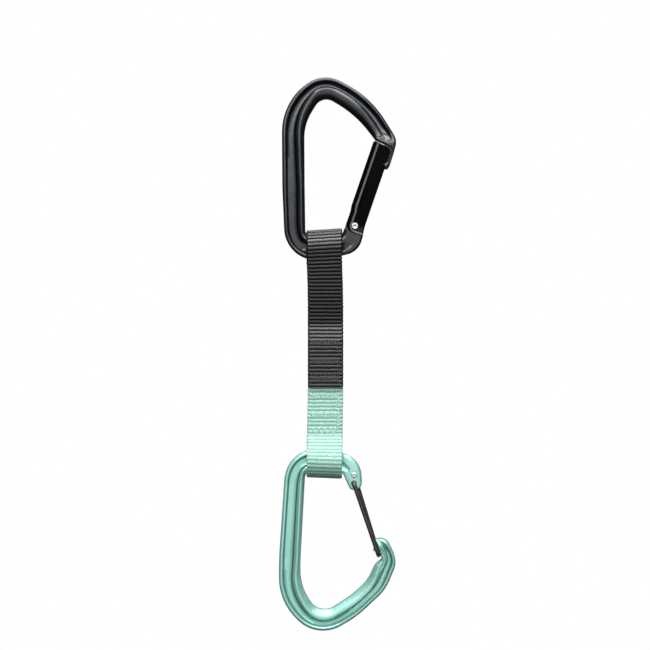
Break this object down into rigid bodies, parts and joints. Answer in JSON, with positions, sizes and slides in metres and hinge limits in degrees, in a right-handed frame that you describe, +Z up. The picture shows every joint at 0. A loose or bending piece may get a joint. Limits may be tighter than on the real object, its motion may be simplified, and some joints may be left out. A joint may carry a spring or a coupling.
{
  "type": "climbing quickdraw",
  "caption": "Climbing quickdraw: a solid-gate carabiner and a wire-gate carabiner joined by a short sewn webbing sling.",
  "frame": {"origin": "inside of the bolt-end carabiner's upper bow, where it hangs on a bolt hanger", "axes": "+Z up along the hanging draw, +X across the front view towards both gates, -Y towards the front"},
  "size_m": [0.0611, 0.0186, 0.2878],
  "materials": {
    "black_anodised": "satin black anodised aluminium",
    "gate_black": "gloss black anodised aluminium",
    "bright_steel": "bright stainless steel",
    "teal_anodised": "satin teal anodised aluminium",
    "black_wire": "satin black stainless wire",
    "black_webbing": "ribbed woven webbing",
    "teal_webbing": "ribbed woven webbing",
    "black_thread": "dense lockstitch",
    "teal_thread": "dense lockstitch",
    "keeper_rubber": "matt rubber"
  },
  "bodies": {
    "bolt_end_carabiner": {"bolt_end_frame": "black_anodised", "bolt_end_gate_rivet": "bright_steel"},
    "bolt_end_gate": {"bolt_end_gate": "gate_black", "bolt_end_gate_spring": "bright_steel"},
    "gate_plunger": {"bolt_end_gate_plunger": "bright_steel"},
    "sling_loop": {"black_webbing_loop": "black_webbing"},
    "sling": {"black_webbing_tails": "black_webbing", "teal_webbing": "teal_webbing", "rope_end_keeper": "keeper_rubber", "upper_black_bar_tack": "black_thread", "middle_black_bar_tack": "black_thread", "lower_black_bar_tack": "black_thread", "upper_teal_bar_tack": "teal_thread", "middle_teal_bar_tack": "teal_thread", "lower_teal_bar_tack": "teal_thread", "edge_stitching": "black_thread"},
    "rope_end_carabiner": {"rope_end_frame": "teal_anodised"},
    "wire_gate_back": {"wire_gate_back_leg": "black_wire"},
    "wire_gate_front": {"wire_gate_front_leg": "black_wire"}
  },
  "joints": [
    {"name": "bolt_end_gate_hinge", "type": "hinge", "parent": "bolt_end_carabiner", "child": "bolt_end_gate", "pos_m": [0.0148, 0, -0.0661], "axis": [0, -1, 0], "range_deg": [0, 30], "stiffness_Nm_per_rad": 0.2, "springref_deg": -28.65},
    {"name": "gate_plunger_slide", "type": "slide", "parent": "bolt_end_gate", "child": "gate_plunger", "axis": [0.3256, 0, 0.9455], "range_m": [0, 0.0012], "deforming": ["bolt_end_gate_spring"]},
    {"name": "sling_swing", "type": "hinge", "parent": "bolt_end_carabiner", "child": "sling_loop", "pos_m": [-0.0009, 0, -0.0769], "axis": [1, 0, 0], "range_deg": [-120, 120]},
    {"name": "sling_fold", "type": "hinge", "parent": "sling_loop", "child": "sling", "pos_m": [-0.0009, 0, -0.1226], "axis": [1, 0, 0], "range_deg": [-30, 30]},
    {"name": "rope_end_swing", "type": "hinge", "parent": "sling", "child": "rope_end_carabiner", "pos_m": [-0.0009, 0, -0.1884], "axis": [1, 0, 0], "range_deg": [-90, 90]},
    {"name": "wire_gate_hinge", "type": "hinge", "parent": "rope_end_carabiner", "child": "wire_gate_back", "pos_m": [0.01435, 0, -0.1957], "axis": [0, 1, 0], "range_deg": [0, 30], "stiffness_Nm_per_rad": 0.1, "springref_deg": -28.65},
    {"name": "wire_gate_twist", "type": "hinge", "parent": "wire_gate_back", "child": "wire_gate_front", "pos_m": [0.0272, 0, -0.2376], "axis": [0, 1, 0], "range_deg": [0, 3.3]}
  ],
  "couplings": [
    {"joint": "gate_plunger_slide", "follows": "bolt_end_gate_hinge", "m_per_rad": 0.0022},
    {"joint": "wire_gate_twist", "follows": "wire_gate_hinge", "ratio": 0.104}
  ]
}
